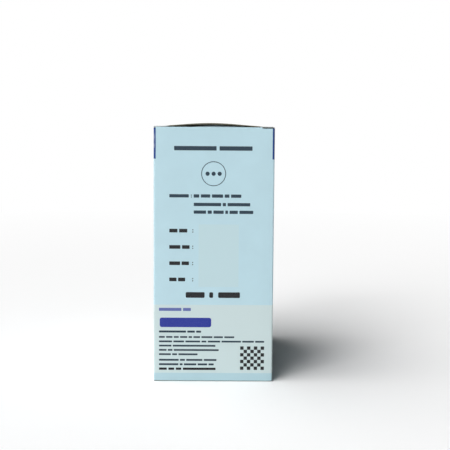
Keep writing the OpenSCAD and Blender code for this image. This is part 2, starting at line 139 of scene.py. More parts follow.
class CartonSizes(PropertyGroup):
    """Sizes of the folded board."""

    half_w: length("Half width", "Outer face of a wide wall from the middle", TUCK_HIGH.x)
    half_d: length("Half depth", "Outer face of a narrow wall from the middle", -FACE_LOW.y)
    wall_top: length("Wall top", "Height of the narrow walls, where dust flaps fold", FACE_HIGH.z)
    side_top: length("Side top", "Height of the wide walls, where the lid folds", TUCK_HIGH.z)
    board: length("Board", "Thickness of the board", 0.5 * MM)
    corner: length("Corner", "Outer radius of the upright corners", 1.2 * MM)
    fold: length("Fold", "Outer radius of the dust flaps' creases", 0.8 * MM)
    lid_fold: length("Lid fold", "Outer radius of the creases of the lid and tuck flap", 0.55 * MM)
    foot: length("Foot", "Outer radius of the creases at the foot", 0.6 * MM)
    swell: length("Swell", "How far a wide wall bulges at its middle", 0.35 * MM)
    lid_rise: length("Lid rise", "How far the lid's free edges bow up over its ends", 2.15 * MM)
    lid_calm: share("Lid calm", "How much of the edges' bow the middle of the lid has", 0.5)
    lid_curl: number("Lid curl", "How close to the edges the lid curls up", 14, min=1)
    lid_peak: place("Lid peak", "Where the bow is highest, across the carton", -2 * MM)
    lid_reach: length("Lid reach", "From the peak to either end of the bow", 34.2 * MM)
    lid_inset: length("Lid inset", "Setback of the lid's cut edges from the narrow faces", 0.4 * MM)
    dust_l: length("Dust flap", "Length of a dust flap", 36 * MM)
    dust_hinge_inset: length(
        "Inset at the hinge", "Setback of a dust flap from the hinge wall", 0.7 * MM)
    dust_tuck_inset: length(
        "Inset at the tuck", "Setback of a dust flap from the tuck wall", 8 * MM)
    dust_hinge_taper: angle("Taper at the hinge", "Slant of a dust flap's side at the hinge", 40)
    dust_tuck_taper: angle("Taper at the tuck", "Slant of a dust flap's side at the tuck", 15)
    dust_corner: length("Dust corner", "Radius of a dust flap's tips", 6 * MM)
    dust_spring: share("Spring", "How much of the lid's bow a dust flap follows", 0.93)
    dust_curl: number("Curl", "How soon past its crease a dust flap has sprung up", 16, min=1)
    dust_free: span(
        "Free side", "Between these places across the carton a dust flap comes to spring up",
        -18 * MM, -5 * MM)
    tuck_l: length("Tuck flap", "Length of the tuck flap", 17 * MM)
    tuck_lean: angle("Tuck lean", "How far the tuck flap leans inwards", 8)
    tuck_inset: length("Tuck inset", "Setback of the tuck flap's sides from the faces", 5 * MM)
    tuck_corner: length("Tuck corner", "Radius of the tuck flap's corners", 10 * MM)
    strip: length("Strip", "Width of the strips that curved board is cut into", 3 * MM)


class PrintSizes(PropertyGroup):
    """Places of the printed zones and thickness of the ink."""

    band_h: length("Band", "Height of the dark band on the wide faces", 21.6 * MM)
    bleed: length("Bleed", "How far the wide faces' ink runs round the corner", 1.5 * MM)
    panel: span("Panel", "Foot and head of the pale panel", 5.9 * MM, 53.6 * MM)
    window_x: span(
        "Window sides", "Left and right side of the field left for overprinting",
        -10.3 * MM, 17.1 * MM)
    window_z: span(
        "Window ends", "Foot and head of the field left for overprinting",
        66.1 * MM, 109.1 * MM)
    ink: length("Ink", "Thickness of a printed mark", 0.05 * MM)
    # Painted light: from this far off the wide walls, cut edges turn paler as if lit
    lit_edge_reach: length("Rub", "How far from the wide walls cut edges are rubbed pale", 11 * MM)


class BoardColours(PropertyGroup):
    """Colours of the board and its inks."""

    face: shade("Face", "Pale blue of the faces", 187, 217, 227)
    panel: shade("Panel", "Paler panel near the foot", 203, 220, 221)
    strip: shade("Strip", "Strip under the paler panel", 181, 211, 220)
    window: shade("Window", "Field left for overprinting", 192, 218, 224)
    band: shade("Band", "Dark blue of the wide faces' heads", 22, 58, 124)
    # Blue-grey of the dust flaps past their crease: painted shade from the lid over them
    flap: shade("Flap", "Fading ink of the dust flaps past their crease", 142, 160, 172)
    grey: shade("Grey board", "Uncoated inner side of the board", 150, 146, 130)
    # Cut edge darker than the board it is cut from: its colour holds painted shade
    raw_and_shade: shade("Raw edge", "Cut edge of the board", 92, 88, 70)
    # Pale board of real wear at the corners, also painted light on the cut edges near the wide walls
    wear_and_light: shade("Wear", "Board that shows where the ink is rubbed off", 226, 232, 234)
    text: shade("Dark ink", "Ink of the plain bars", 34, 54, 68)
    bold: shade("Bold ink", "Ink of the heavy bars", 10, 13, 17)
    blue: shade("Blue ink", "Ink of the blue bars", 34, 50, 146)
    violet: shade("Violet ink", "Ink of the small bars over the blue ones", 96, 108, 168)
    white: shade("White ink", "Ink of the bars on the dark band", 236, 243, 246)


class PlasticColours(PropertyGroup):
    """Colours of the exerciser's plastics."""

    shell: shade("Shell", "Base and cap", 42, 88, 170)
    white: shade("White", "Plates and suction line", 226, 229, 232)
    clear: shade("Clear", "Chambers and tube", 232, 243, 247)
    mouth: shade("Mouthpiece", "Mouthpiece", 236, 238, 240)
    low: shade("Low ball", "Ball of the lowest flow", 52, 120, 208)
    mid: shade("Middle ball", "Ball of the middle flow", 62, 160, 84)
    high: shade("High ball", "Ball of the highest flow", 236, 126, 40)


class DeviceSizes(PropertyGroup):
    """Sizes of the exerciser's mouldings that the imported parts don't give."""

    base_r: length("Base corner", "Radius of the base's and the cap's upright corners", 13 * MM)
    plinth_h: length("Plinth", "Height of the plinth round the base's foot", 7 * MM)
    plinth_w: length("Plinth step", "How far the plinth stands out", 1.4 * MM)
    wall: length("Wall", "Thickness of the base's and the cap's walls", 2 * MM)
    base_fillet: length("Base fillet", "Rounding of the base's upper edge", 2.6 * MM)
    cap_fillet: length("Cap fillet", "Rounding of the cap's upper edge", 3 * MM)
    step_fillet: length("Step fillet", "Rounding of the plinth's edge", 0.6 * MM)
    cover_z: length("Cover", "From the foot to the top of the plate in the foot", 3 * MM)
    cap_skirt: length("Skirt", "Depth of the cap's rim round the plate under it", 3.5 * MM)
    boss_r: length("Boss", "Radius of the boss behind the hose port", 11.6 * MM)
    boss_l: length("Boss depth", "How far the boss reaches into the base", 6 * MM)
    ease: length("Ease", "Rounding of small moulded edges", 0.3 * MM)
    clear_ease: length("Clear ease", "Rounding of the clear parts' edges", 0.15 * MM)
    glue: length("Glue", "Gap of glue between the clear parts and their plates", 0.06 * MM)
    seam: length("Seam", "Depth of the line round a ball's middle", 0.12 * MM)
    digits: length("Digits", "Size of the numbers on the cap", 6.2 * MM)
    relief: length("Relief", "How far the numbers stand out", 0.25 * MM)


class StageLook(PropertyGroup):
    """Camera, lights and floor."""

    floor: shade("Floor", "Colour of the floor", 250, 250, 250)
    gain: number(
        "Floor gain", "How much brighter the camera sees the floor than the object does",
        1.11, min=0)
    near: length("Near floor", "Out to here the floor shows its own shading", 0.55)
    far: length("Far floor", "From here on the floor is the plain background", 1.5)
    sky: share("Sky", "Strength of the even light from all round", 0.018)
    key: number("Key", "Strength of the key light", 2.03, min=0)
    key_angle: angle("Key softness", "How wide the key light is seen from the object", 56)
    key_from: heading("Key from", "Where the key light comes from", -0.52, -0.4, 0.76)
    fill: number("Fill", "Strength of the low light from the front", 1.06, min=0)
    fill_angle: angle("Fill softness", "How wide the low light is seen from the object", 30)
    fill_from: heading("Fill from", "Where the low light comes from", -0.48, -0.77, 0.42)
    back: number("Back", "Strength of the light from behind", 1.0, min=0)
    back_angle: angle("Back softness", "How wide the light from behind is seen", 50)
    back_from: heading("Back from", "Where the light from behind comes from", -0.55, 0.32, 0.77)
    lens: number("Lens", "Focal length in millimetres", 72, min=1)
    camera_x: place("Camera side", "Where the camera stands across the carton", 1.9 * MM)
    camera_back: length("Camera back", "From the narrow face to the camera", 610.3 * MM)
    camera_z: length("Camera height", "Height of the camera over the floor", 166.5 * MM)
    yaw: angle("Yaw", "How far the camera turns to the right", 0.539)
    pitch: angle("Pitch", "How far the camera looks down", 5.403)
    roll: angle("Roll", "How far the camera leans", 0.402)


# Materials -------------------------------


def node(tree, kind, **settings):
    """A node with its settings and the default values of its inputs, which are given by name."""
    made = tree.nodes.new(kind)
    for name, value in settings.items():
        if hasattr(made, name):
            setattr(made, name, value)
        else:
            made.inputs[name.replace("_", " ")].default_value = value
    return made


def new_material(name, colour, roughness, **shader):
    """A material with these plain values, its tree, its shader and its object coordinates."""
    material = bpy.data.materials.new(name)
    material.use_nodes = True
    tree = material.node_tree
    surface = tree.nodes["Principled BSDF"]
    surface.inputs["Base Color"].default_value = (*colour, 1)
    surface.inputs["Roughness"].default_value = roughness
    for label, value in shader.items():
        surface.inputs[label.replace("_", " ")].default_value = value
    return material, tree, surface, tree.nodes.new("ShaderNodeTexCoord").outputs["Object"]


def shared(name, make, *values):
    """The material of this name, made once."""
    return bpy.data.materials.get(name) or make(name, *values)


def noise(tree, where, scale, detail=3.0, stretch=(1, 1, 1)):
    """The value of a noise with this many cells per metre."""
    turned = node(tree, "ShaderNodeMapping")
    turned.inputs["Scale"].default_value = stretch
    tree.links.new(where, turned.inputs["Vector"])
    made = node(tree, "ShaderNodeTexNoise", Scale=scale, Detail=detail)
    tree.links.new(turned.outputs["Vector"], made.inputs["Vector"])
    return made.outputs["Fac"]


def ramp(tree, value, start, end, low=0.0, high=1.0):
    """value taken from the range start..end to low..high, and held at its ends."""
    made = node(
        tree, "ShaderNodeMapRange", clamp=True,
        From_Min=start, From_Max=end, To_Min=low, To_Max=high)
    tree.links.new(value, made.inputs["Value"])
    return made.outputs["Result"]


def clouds(tree, where, scale, detail, low=0.0, high=1.0):
    """A noise with this many cells per metre, from low to high."""
    return ramp(tree, noise(tree, where, scale, detail), 0.3, 0.7, low, high)


def axes(tree, vector):
    """The parts of a vector by the names X, Y and Z."""
    split = tree.nodes.new("ShaderNodeSeparateXYZ")
    tree.links.new(vector, split.inputs["Vector"])
    return split.outputs


def math_node(tree, operation, a, b=0.0):
    """a and b combined; each is a socket or a number."""
    made = node(tree, "ShaderNodeMath", operation=operation)
    for socket, value in zip(made.inputs, (a, b)):
        if isinstance(value, (int, float)):
            socket.default_value = value
        else:
            tree.links.new(value, socket)
    return made.outputs["Value"]


def both(tree, value, *others):
    """The values multiplied, so 1 only where all of them are."""
    for other in others:
        value = math_node(tree, "MULTIPLY", value, other)
    return value


def past(tree, value, edge, soft):
    """1 where the value is over the edge, which is this soft."""
    return ramp(tree, value, edge - soft, edge + soft)


def between(tree, value, low, high, soft=0.12 * MM):
    """1 where the value lies from low to high, with soft ends."""
    fall = ramp(tree, value, high - soft, high + soft, 1, 0)
    return both(tree, past(tree, value, low, soft), fall)


def mix(tree, factor, under, over):
    """The colour over laid on the colour under where the factor is 1."""
    made = node(tree, "ShaderNodeMix", data_type="RGBA")
    for index, value in ((0, factor), (6, under), (7, over)):
        if isinstance(value, bpy.types.NodeSocket):
            tree.links.new(value, made.inputs[index])
        else:
            made.inputs[index].default_value = value if index == 0 else (*value, 1)
    return made.outputs[2]


def tint(tree, surface, colour):
    """Gives the surface a colour that changes over it."""
    tree.links.new(colour, surface.inputs["Base Color"])


def gloss(tree, surface, roughness):
    """Gives the surface a roughness that changes over it."""
    tree.links.new(roughness, surface.inputs["Roughness"])


def bump(tree, surface, height, distance, below=None):
    """A bump of this height on the surface, over the one below it."""
    made = node(tree, "ShaderNodeBump", Distance=distance)
    tree.links.new(height, made.inputs["Height"])
    if below is not None:
        tree.links.new(below, made.inputs["Normal"])
    tree.links.new(made.outputs["Normal"], surface.inputs["Normal"])
    return made.outputs["Normal"]


def printed_board(name, ground, zones=None):
    """Coated board in its ground colour, over which zones paints the inks of the layout and any
    painted shade.
    """
    scene = bpy.context.scene
    sizes = scene.carton
    material, tree, surface, where = new_material(
        name, ground, 0.45, Coat_Weight=0.04, Coat_Roughness=0.25, Specular_IOR_Level=0.28)
    at = dict(zip("xyz", axes(tree, where)))
    at["side"] = math_node(tree, "ABSOLUTE", at["x"])
    at["deep"] = math_node(tree, "ABSOLUTE", at["y"])
    mottled = [c * 1.035 for c in ground]
    painted = mix(tree, clouds(tree, where, 90, 5), ground, mottled)
    if zones:
        painted = zones(tree, painted, at, scene)
    # Ink rubbed off along the upright corners
    near = [
        ramp(tree, at[axis], half - 1.1 * MM, half - 0.3 * MM)
        for axis, half in (("side", sizes.half_w), ("deep", sizes.half_d))]
    patches = ramp(tree, noise(tree, where, 340, 6, (1, 1, 0.35)), 0.52, 0.66)
    worn = both(tree, *near, patches, 0.5)
    tint(tree, surface, mix(tree, worn, painted, scene.board_colours.wear_and_light))
    gloss(tree, surface, clouds(tree, where, 60, 4, 0.42, 0.48))
    # Fine paper grain over the slow waves of thin board
    waves = bump(tree, surface, noise(tree, where, 28, 1), 0.15 * MM)
    bump(tree, surface, noise(tree, where, 2600, 4), 0.012 * MM, waves)
    return material


def wall_zones(tree, under, at, scene):
    """The sleeve's inks from the first to the last, with painted shade along the foot, then its
    glued seam.
    """
    colours, sizes, ink = scene.board_colours, scene.carton, scene.print_sizes
    front = ramp(tree, at["y"], MM - sizes.half_d, 0.9 * MM - sizes.half_d)
    window = both(
        tree, between(tree, at["x"], *ink.window_x), between(tree, at["z"], *ink.window_z), front)
    band = both(
        tree, past(tree, at["z"], sizes.side_top - ink.band_h, 0.1 * MM),
        past(tree, at["side"], sizes.half_w - ink.bleed, 0.1 * MM))
    seam_y = sizes.half_d - sizes.corner
    seam = both(
        tree, between(tree, at["y"], seam_y - 0.4 * MM, seam_y, 0.04 * MM),
        ramp(tree, at["x"], 0.3 * MM - sizes.half_w, 0.2 * MM - sizes.half_w))
    # Dark line along the creased foot: painted shade where the carton meets the floor
    foot_shade = ramp(tree, at["z"], 0.3 * MM, 0.8 * MM, 0.9, 0)
    for zone, colour in (
            (between(tree, at["z"], *ink.panel), colours.panel),
            (between(tree, at["z"], -MM, ink.panel[0]), colours.strip),
            (foot_shade, colours.raw_and_shade), (window, colours.window),
            (band, colours.band), (seam, colours.raw_and_shade)):
        under = mix(tree, zone, under, colour)
    return under


def flap_shade_zones(tree, under, at, scene):
    """A dust flap, darker past its crease: painted shade from the lid over it."""
    crease = scene.carton.half_d - scene.carton.fold
    # Past the crease the flap takes the painted shade colour
    outer = ramp(tree, at["deep"], crease - 0.3 * MM, crease + scene.carton.fold / 2, 1, 0)
    return mix(tree, outer, under, scene.board_colours.flap)


def foot_zones(tree, under, at, scene):
    """The bottom flaps: printed below and grey above."""
    facing = tree.nodes.new("ShaderNodeNewGeometry").outputs["Normal"]
    above = ramp(tree, axes(tree, facing)["Z"], -0.5, -0.4)
    return mix(tree, above, under, scene.board_colours.grey)


def fibre_board(name, colour, rubbed=0.0):
    """Uncoated board with fibres and specks, made paler to the share rubbed near the wide walls:
    painted light on the ends of the cut edges.
    """
    scene = bpy.context.scene
    material, tree, surface, where = new_material(name, colour, 0.85, Specular_IOR_Level=0.2)
    light, dark = [c * 1.16 for c in colour], [c * 0.62 for c in colour]
    specks = ramp(tree, noise(tree, where, 1500, 2, (1, 0.35, 1)), 0.66, 0.74)
    painted = mix(tree, specks, mix(tree, clouds(tree, where, 420, 6), colour, light), dark)
    # Painted light: cut edges paler near the wide walls, where they stand in the light
    if rubbed:
        side = math_node(tree, "ABSOLUTE", axes(tree, where)["X"])
        near = scene.carton.half_w - scene.print_sizes.lit_edge_reach
        pale = ramp(tree, side, near, near + 3 * MM, 0, rubbed)
        painted = mix(tree, pale, painted, scene.board_colours.wear_and_light)
    tint(tree, surface, painted)
    bump(tree, surface, noise(tree, where, 1800, 5), 0.03 * MM)
    return material


def ink_material(name, colour):
    """A printed ink with the slight unevenness of its screen."""
    material, tree, surface, where = new_material(
        name, colour, 0.45, Coat_Weight=0.05, Coat_Roughness=0.25, Specular_IOR_Level=0.3)
    light = [c + (1 - c) * 0.015 for c in colour]
    uneven = ramp(tree, noise(tree, where, 1200, 3), 0.35, 0.7)
    tint(tree, surface, mix(tree, uneven, colour, light))
    bump(tree, surface, noise(tree, where, 2600, 3), 0.004 * MM)
    return material


def all_inks():
    """The inks by name. Those of the drawn balls have the balls' own colours."""
    scene = bpy.context.scene
    labels = {
        scene.board_colours: ("text", "bold", "blue", "violet", "white"),
        scene.plastics: ("low", "mid", "high")}
    return {
        label: shared(f"ink_{label}", ink_material, getattr(colours, label))
        for colours, names in labels.items() for label in names}


def moulded(name, colour, roughness=0.34, coat=0.1):
    """Moulded plastic: gloss that wanders a little, with a faint skin."""
    material, tree, surface, where = new_material(
        name, colour, roughness, Coat_Weight=coat, Coat_Roughness=0.1, Specular_IOR_Level=0.4)
    deep = [c * 0.97 for c in colour]
    uneven = ramp(tree, noise(tree, where, 45, 4), 0.35, 0.65)
    tint(tree, surface, mix(tree, uneven, colour, deep))
    gloss(tree, surface, clouds(tree, where, 120, 3, roughness * 0.9, roughness * 1.12))
    skin = bump(tree, surface, noise(tree, where, 40, 1), 0.05 * MM)
    bump(tree, surface, noise(tree, where, 1500, 3), 0.006 * MM, skin)
    return material


def clear_plastic(name, colour):
    """Clear plastic with flow lines and a few fine scuffs.

    It bends light less than the real one does, which keeps its thick parts from going dark."""
    material, tree, surface, where = new_material(
        name, colour, 0.05, Transmission_Weight=1.0, IOR=1.2, Coat_Weight=0.3, Coat_Roughness=0.04)
    scuffs = ramp(tree, noise(tree, where, 900, 6, (1, 1, 0.2)), 0.62, 0.72, 0.04, 0.2)
    gloss(tree, surface, scuffs)
    bump(tree, surface, noise(tree, where, 35, 2, (1, 1, 0.3)), 0.08 * MM)
    return material


# Meshes ----------------------------------


def finish_piece(name, bm, materials, smooth=True):
    """The mesh as an object of this name, with its materials."""
    mesh = bpy.data.meshes.new(name)
    bm.to_mesh(mesh)
    bm.free()
    for material in materials:
        mesh.materials.append(material)
    mesh.polygons.foreach_set("use_smooth", [smooth] * len(mesh.polygons))
    piece = bpy.data.objects.new(name, mesh)
    bpy.context.scene.collection.objects.link(piece)
    return piece


def keep_crisp(piece, sharp=CRISP):
    """Keeps edges that turn by more than this many degrees crisp."""
    piece.data.set_sharp_from_angle(angle=math.radians(sharp))


def pour(bm, other):
    """Adds the mesh other to bm, and ends it."""
    drawn = bpy.data.meshes.new("poured")
    other.to_mesh(drawn)
    other.free()
    bm.from_mesh(drawn)
    bpy.data.meshes.remove(drawn)


def lift(bm, extruded, height):
    """Moves the new points of an extrusion up."""
    points = [g for g in extruded["geom"] if isinstance(g, bmesh.types.BMVert)]
    bmesh.ops.translate(bm, verts=points, vec=(0, 0, height))


def round_off(bm, geom, radius, segments, affect="EDGES", **settings):
    """Rounds edges, or corners where affect says VERTICES."""
    bmesh.ops.bevel(
        bm, geom=geom, offset=radius, affect=affect, segments=segments,
        profile=0.5, material=-1, **settings)


def cut_strips(bm, axis, low, high, step):
    """Cuts the sheet across an axis at even steps, so that it can bend."""
    count = max(1, round((high - low) / step))
    normal = Vector([float(i == axis) for i in range(3)])
    for k in range(1, count):
        bmesh.ops.bisect_plane(
            bm, geom=bm.verts[:] + bm.edges[:] + bm.faces[:], dist=1e-7,
            plane_co=normal * (low + (high - low) * k / count), plane_no=normal)


def flat_blank(outline, rounds):
    """A flat sheet in X and Y: an outline of a few points, each with the radius of its corner."""
    bm = bmesh.new()
    points = [bm.verts.new((x, y, 0)) for x, y in outline]
    bm.faces.new(points)
    for radius in sorted({r for r in rounds if r}):
        corners = [point for point, r in zip(points, rounds) if r == radius]
        round_off(bm, corners, radius * 0.7, 8, "VERTICES")
    return bm


def fold_point(s, radius, turn):
    """Where a point lies after a crease: s along the sheet from the crease's start, as (on, over).

    The sheet starts along on, and bends through turn towards over on an arc of this radius."""
    arc = radius * turn
    phi = min(s, arc) / radius if s > 0 else 0
    rest = s - arc if s > arc else min(s, 0)
    return (
        radius * math.sin(phi) + rest * math.cos(phi),
        radius * (1 - math.cos(phi)) + rest * math.sin(phi))


def folded_sheet(outline, rounds, cuts, fold, outwards):
    """Cuts a flat blank, cuts it into strips, and folds it with its printed side outwards.

    fold gives the place of a point of the blank."""
    bm = flat_blank(outline, rounds)
    for cut in cuts:
        cut_strips(bm, *cut)
    for point in bm.verts:
        point.co = fold(point.co.x, point.co.y)
    bmesh.ops.recalc_face_normals(bm, faces=bm.faces[:])
    if sum(f.normal.dot(outwards) * f.calc_area() for f in bm.faces) < 0:
        bmesh.ops.reverse_faces(bm, faces=bm.faces[:])
    return bm


def finish_board(name, bm, finish, ground, zones=None):
    """The folded sheet as a piece of board, whose thickness goes on its inner side.

    Its outside is printed, its inner side is grey, and its edge is cut."""
    scene = bpy.context.scene
    outside = shared(finish, printed_board, ground, zones)
    grey = shared("grey_side", fibre_board, scene.board_colours.grey)
    # Cut edges with painted shade, and painted light near the wide walls
    cut = shared("cut_edge", fibre_board, scene.board_colours.raw_and_shade, 0.85)
    piece = finish_piece(name, bm, [outside, grey, cut])
    board = piece.modifiers.new("board", "SOLIDIFY")
    board.thickness, board.offset = scene.carton.board, -1
    board.use_even_offset = True
    board.material_offset, board.material_offset_rim = 1, 2
    shape = piece.evaluated_get(bpy.context.evaluated_depsgraph_get())
    sheet = piece.data
    piece.data = bpy.data.meshes.new_from_object(shape)
    piece.modifiers.clear()
    bpy.data.meshes.remove(sheet)
    keep_crisp(piece)
    return piece


def lid_bow(sizes, x, y):
    """Height of the lid's bow: an arch across the carton that grows towards the free edges."""
    u = abs(x - sizes.lid_peak) / sizes.lid_reach
    if u >= 1:
        return 0.0
    edge = min(1, abs(y) / sizes.half_d) ** sizes.lid_curl
    grown = sizes.lid_calm + (1 - sizes.lid_calm) * edge
    return grown * sizes.lid_rise * 0.5 * ((1 - u * u) + math.cos(math.pi * u / 2) ** 2)


def bow_print(points):
    """Lays marks on the bow of the lid under them."""
    for point in points:
        point.co.z += lid_bow(bpy.context.scene.carton, point.co.x, point.co.y)


def swell_at(sizes, along, half, high):
    """How far a wall bulges out at a place along it and a height."""
    if abs(along) >= half or not 0 < high < sizes.wall_top:
        return 0.0
    upright = math.sin(math.pi * high / sizes.wall_top)
    return sizes.swell * math.cos(math.pi * along / half / 2) * upright


def swell_walls(points):
    """Moves the points on the sleeve's outer faces out with the board's bulge."""
    sizes = bpy.context.scene.carton
    for point in points:
        x, y, z = point.co
        if abs(abs(y) - sizes.half_d) < ON_WALL:
            bulge = swell_at(sizes, x, sizes.half_w - sizes.corner, z)
            point.co.y += math.copysign(bulge, y) * NARROW_SWELL
        elif abs(abs(x) - sizes.half_w) < ON_WALL:
            bulge = swell_at(sizes, y, sizes.half_d - sizes.corner, z)
            point.co.x += math.copysign(bulge, x)


# Carton ----------------------------------


class CARTON_OT_sleeve(Operator):
    """Folds the four walls and the glued seam as one sheet."""

    bl_idname = "exerciser.sleeve"
    bl_label = "Make the sleeve"

    def execute(self, context):
        sizes = context.scene.carton
        core_x, core_y = sizes.half_w - sizes.corner, sizes.half_d - sizes.corner
        bm = bmesh.new()
        bmesh.ops.create_grid(
            bm, x_segments=1, y_segments=1, size=1,
            matrix=Matrix.Diagonal((sizes.half_w, sizes.half_d, 1, 1)))
        round_off(bm, bm.verts[:], sizes.corner, 8, "VERTICES")
        floor, foot = bm.faces[:], bm.edges[:]
        lift(bm, bmesh.ops.extrude_edge_only(bm, edges=foot), sizes.wall_top)
        bmesh.ops.delete(bm, geom=floor, context="FACES_ONLY")
        self.fold_foot(bm, foot, sizes, core_x, core_y)
        # The wide walls go on up to the lid's crease
        wide = [e for e in bm.edges if all(self.on_wide_top(p.co, sizes) for p in e.verts)]
        lift(bm, bmesh.ops.extrude_edge_only(bm, edges=wide), sizes.side_top - sizes.wall_top)
        cut_strips(bm, 2, 0, sizes.wall_top, MARK_STRIP)
        cut_strips(bm, 1, -core_y, core_y, WALL_STRIP)
        cut_strips(bm, 0, -core_x, core_x, WALL_STRIP)
        bmesh.ops.recalc_face_normals(bm, faces=bm.faces[:])
        swell_walls(bm.verts)
        face = context.scene.board_colours.face
        sleeve = finish_board("sleeve", bm, "printed_wall", face, wall_zones)
        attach(sleeve, "carton")
        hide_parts("front_panel", "back_panel", "hinge_panel", "tuck_panel")
        return {"FINISHED"}

    def on_wide_top(self, at, sizes):
        """Whether a place is on the upper edge of a wide wall."""
        return abs(at.z - sizes.wall_top) < TOUCH and abs(abs(at.x) - sizes.half_w) < TOUCH

    def fold_foot(self, bm, foot, sizes, core_x, core_y):
        """Turns the walls' foot in on a small arc, where the bottom flaps fold."""
        steps = 4
        for k in range(steps + 1):
            turn = k / steps * math.pi / 2
            if k:
                raised = bmesh.ops.extrude_edge_only(bm, edges=foot)["geom"]
                foot = [g for g in raised if isinstance(g, bmesh.types.BMEdge) and g.is_boundary]
            for point in {p for edge in foot for p in edge.verts}:
                x, y, _ = point.co
                middle = Vector((max(-core_x, min(core_x, x)), max(-core_y, min(core_y, y)), 0))
                away = (Vector((x, y, 0)) - middle).normalized()
                point.co = middle + away * (sizes.corner - sizes.foot * (1 - math.cos(turn)))
                point.co.z = sizes.foot * (1 - math.sin(turn))


class CARTON_OT_dust_flaps(Operator):
    """Cuts and folds the two dust flaps under the lid."""

    bl_idname = "exerciser.dust_flaps"
    bl_label = "Make the dust flaps"

    def execute(self, context):
        for name, side in (("front", -1), ("back", 1)):
            self.make(context.scene.carton, name, side)
        return {"FINISHED"}

    def make(self, sizes, name, side):
        turn = math.pi / 2
        arc = sizes.fold * turn
        end = arc + sizes.dust_l - sizes.fold
        low = -sizes.half_w + sizes.board + sizes.dust_hinge_inset
        high = sizes.half_w - sizes.board - sizes.dust_tuck_inset
        tip_low = low + (end - arc) * math.tan(sizes.dust_hinge_taper)
        tip_high = high - (end - arc) * math.tan(sizes.dust_tuck_taper)
        curled = arc + sizes.strip * 3
        still, sprung = sizes.dust_free

        def fold(x, s):
            up, back = fold_point(s, sizes.fold, turn)
            y = side * (sizes.half_d - back)
            out = 1 - (1 - max(0, s - arc) / (end - arc)) ** sizes.dust_curl
            free = min(1, max(LEAST_SPRING, (x - still) / (sprung - still)))
            rise = out * free * sizes.dust_spring * lid_bow(sizes, x, y)
            return x, y, sizes.wall_top + up + rise

        bm = folded_sheet(
            [(low, 0), (high, 0), (high, arc), (tip_high, end), (tip_low, end), (low, arc)],
            [0, 0, 0, sizes.dust_corner, sizes.dust_corner, 0],
            ((1, 0, arc, arc / 6), (1, arc, curled, sizes.strip / 3),
             (1, curled, end, sizes.strip), (0, low, high, sizes.strip * 1.5)),
            fold, Vector((0, 0, 1)))
        face = bpy.context.scene.board_colours.face
        flap = finish_board(f"{name}_dust", bm, "printed_flap", face, flap_shade_zones)
        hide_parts(f"{name}_dust_flap")
        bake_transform(flap)


class CARTON_OT_lid(Operator):
    """Folds the lid and lets it bow over the dust flaps."""

    bl_idname = "exerciser.lid"
    bl_label = "Make the lid"

    def execute(self, context):
        sizes = context.scene.carton
        shoulder = sizes.lid_fold
        arc = sizes.lid_fold * math.pi / 2
        end = arc + (LID_HIGH.x + sizes.half_w - 2 * sizes.lid_fold)
        half = sizes.half_d - sizes.lid_inset

        def fold(s, y):
            up, over = fold_point(s, sizes.lid_fold, math.pi / 2)
            x = over - sizes.half_w
            return x, y, sizes.side_top + up + (lid_bow(sizes, x, y) if s > arc else 0)

        bm = folded_sheet(
            [(0, -half + shoulder), (arc, -half), (end, -half), (end, half), (arc, half),
             (0, half - shoulder)],
            [0] * 6,
            ((0, 0, arc, arc / 6), (0, arc, end, sizes.strip),
             (1, -half, half, sizes.strip / 2)),
            fold, Vector((0, 0, 1)))
        lid = finish_board("lid", bm, "printed_lid", context.scene.board_colours.band)
        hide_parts("lid_panel")
        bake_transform(lid)
        return {"FINISHED"}


class CARTON_OT_tuck(Operator):
    """Folds the tuck flap down behind its wall."""

    bl_idname = "exerciser.tuck"
    bl_label = "Make the tuck flap"

    def execute(self, context):
        sizes = context.scene.carton
        turn = math.pi / 2 + sizes.tuck_lean
        arc = sizes.lid_fold * turn
        end = arc + sizes.tuck_l - sizes.lid_fold
        half = sizes.half_d - sizes.tuck_inset
        lid_end = LID_HIGH.x - sizes.lid_fold

        def fold(s, y):
            out, down = fold_point(s, sizes.lid_fold, turn)
            return lid_end + out, y, sizes.side_top + sizes.lid_fold - down

        bm = folded_sheet(
            [(0, -half), (arc, -half), (end, -half), (end, half), (arc, half), (0, half)],
            [0, 0, sizes.tuck_corner, sizes.tuck_corner, 0, 0],
            ((0, 0, arc, arc / 6), (0, arc, end, sizes.strip),
             (1, -half, half, sizes.strip * 3)),
            fold, Vector((1, 0, 0)))
        tuck = finish_board("tuck", bm, "printed_lid", context.scene.board_colours.band)
        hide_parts("tuck_flap")
        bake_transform(tuck)
        return {"FINISHED"}


class CARTON_OT_bottom(Operator):
    """Gives the glue flap and the four bottom flaps their board."""

    bl_idname = "exerciser.bottom"
    bl_label = "Finish the bottom"

    def execute(self, context):
        colours = context.scene.board_colours
        outside = shared("printed_foot", printed_board, colours.face, foot_zones)
        grey = shared("grey_side", fibre_board, colours.grey)
        for name, board in (
                ("lock_flap", outside), ("slot_flap", outside), ("glue_flap", grey),
                ("front_bottom_flap", grey), ("back_bottom_flap", grey)):
            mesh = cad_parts[name].data
            mesh.materials.clear()
            mesh.materials.append(board)
        return {"FINISHED"}


# Print -----------------------------------


